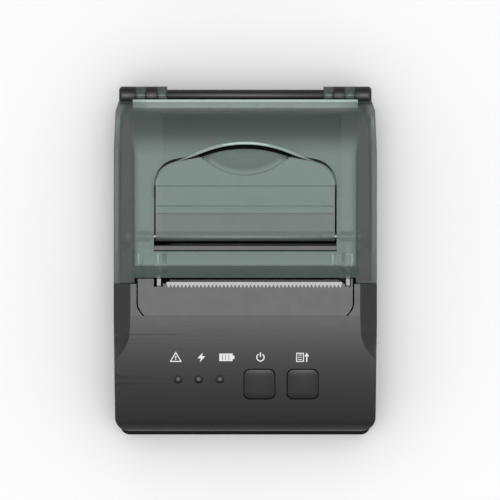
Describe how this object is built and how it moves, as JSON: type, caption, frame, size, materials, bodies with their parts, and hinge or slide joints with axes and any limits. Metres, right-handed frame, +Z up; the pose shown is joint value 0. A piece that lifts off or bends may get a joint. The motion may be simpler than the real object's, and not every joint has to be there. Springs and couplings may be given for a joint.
{
  "type": "receipt printer",
  "caption": "Portable thermal receipt printer with a dark grey case, a smoky see-through paper lid with a release flap, a toothed tear bar, small lamps and two square push buttons.",
  "frame": {"origin": "centre of the footprint, on the surface that the feet stand on", "axes": "+X to the right seen from the front, +Y to the rear hinge, +Z up"},
  "size_m": [0.087, 0.115, 0.047],
  "materials": {
    "black_plastic": "fine moulded texture, black",
    "case_plastic": "satin moulded dark grey",
    "bezel_plastic": "satin moulded grey",
    "key_plastic": "satin dark grey",
    "tear_steel": "stamped bright steel",
    "bin_plastic": "moulded dark grey",
    "pin_steel": "ground steel",
    "hinge_steel": "blackened steel",
    "foot_rubber": "matte black rubber",
    "platen_rubber": "ground black rubber",
    "screw_steel": "zinc plated",
    "battery_wrap": "shrink wrapped film",
    "circuit_board": "green solder mask",
    "component_black": "moulded epoxy",
    "bright_metal": "tinned sheet",
    "led_body": "milky moulding",
    "lens_clear": "cloudy clear light pipe",
    "icon_print": "white pad print",
    "frame_steel": "zinc plated sheet",
    "spring_steel": "spring wire",
    "head_ceramic": "glazed ceramic",
    "head_aluminium": "die cast",
    "flex_film": "amber polyimide film",
    "pinion_brass": "hobbed brass",
    "gear_plastic": "natural acetal",
    "bush_plastic": "natural acetal",
    "smoke_plastic": "glossy smoky green translucent",
    "smoke_plastic_flap": "glossy smoky green translucent"
  },
  "bodies": {
    "case": {"bottom_shell": "black_plastic", "upper_shell": "case_plastic", "exit_bezel": "bezel_plastic", "tear_bar": "tear_steel", "paper_bin": "bin_plastic", "bin_deck": "bin_plastic", "hinge_pins": "hinge_steel", "rubber_feet": "foot_rubber", "case_screws": "screw_steel", "battery_pack": "battery_wrap", "main_board": "circuit_board", "board_components": "component_black", "usb_port": "bright_metal", "key_board": "circuit_board", "tact_switches": "component_black", "status_leds": "led_body", "led_lenses": "lens_clear", "panel_icons": "icon_print", "mechanism_frame": "frame_steel", "head_springs": "spring_steel", "motor_body": "frame_steel", "idler_axle": "pin_steel", "paper_guide": "bin_plastic", "paper_sensor": "component_black", "head_flex": "flex_film", "mechanism_screws": "screw_steel", "board_screws": "screw_steel"},
    "battery_door": {"battery_door": "black_plastic"},
    "lid": {"lid_cover": "smoke_plastic", "lid_guide": "bezel_plastic", "platen_bushings": "bush_plastic", "lever_pins": "pin_steel"},
    "platen": {"platen_rubber": "platen_rubber", "platen_shaft": "pin_steel", "platen_gear": "gear_plastic"},
    "idler": {"idler_gear": "gear_plastic"},
    "motor_rotor": {"motor_shaft": "pin_steel", "motor_pinion": "pinion_brass"},
    "head": {"print_head": "head_ceramic", "head_heat_sink": "head_aluminium"},
    "lever": {"release_lever": "smoke_plastic_flap", "latch_studs": "pin_steel"},
    "power_key": {"power_button": "key_plastic", "power_plunger": "component_black"},
    "feed_key": {"feed_button": "key_plastic", "feed_plunger": "component_black"}
  },
  "joints": [
    {"name": "lid_hinge", "type": "hinge", "parent": "case", "child": "lid", "pos_m": [0, 0.0546, 0.033], "axis": [-1, 0, 0], "range_deg": [0, 95]},
    {"name": "lever_pivot", "type": "hinge", "parent": "lid", "child": "lever", "pos_m": [0, 0.008, 0.0451], "axis": [1, 0, 0], "range_deg": [0, 35], "stiffness_Nm_per_rad": 0.02, "springref_deg": -11.46},
    {"name": "platen_spin", "type": "hinge", "parent": "lid", "child": "platen", "pos_m": [0, -0.0016, 0.0385], "axis": [1, 0, 0], "continuous": true},
    {"name": "idler_spin", "type": "hinge", "parent": "case", "child": "idler", "pos_m": [0, -0.00258, 0.02855], "axis": [1, 0, 0], "continuous": true},
    {"name": "motor_spin", "type": "hinge", "parent": "case", "child": "motor_rotor", "pos_m": [0, -0.01149, 0.02052], "axis": [1, 0, 0], "continuous": true},
    {"name": "head_pivot", "type": "hinge", "parent": "case", "child": "head", "pos_m": [0, -0.0088, 0.032], "axis": [1, 0, 0], "range_deg": [0, 2.5], "stiffness_Nm_per_rad": 0.5, "springref_deg": -3.44},
    {"name": "power_press", "type": "slide", "parent": "case", "child": "power_key", "axis": [0, 0.3064, -0.9519], "range_m": [0, 0.0005], "stiffness_N_per_m": 300, "springref_m": -0.002},
    {"name": "feed_press", "type": "slide", "parent": "case", "child": "feed_key", "axis": [0, 0.3064, -0.9519], "range_m": [0, 0.0005], "stiffness_N_per_m": 300, "springref_m": -0.002},
    {"name": "battery_door_release", "type": "slide", "parent": "case", "child": "battery_door", "axis": [0, 0, -1], "range_m": [0, 0.012]}
  ],
  "couplings": [
    {"joint": "idler_spin", "follows": "platen_spin", "ratio": -1},
    {"joint": "motor_spin", "follows": "platen_spin", "ratio": 2.4286}
  ]
}
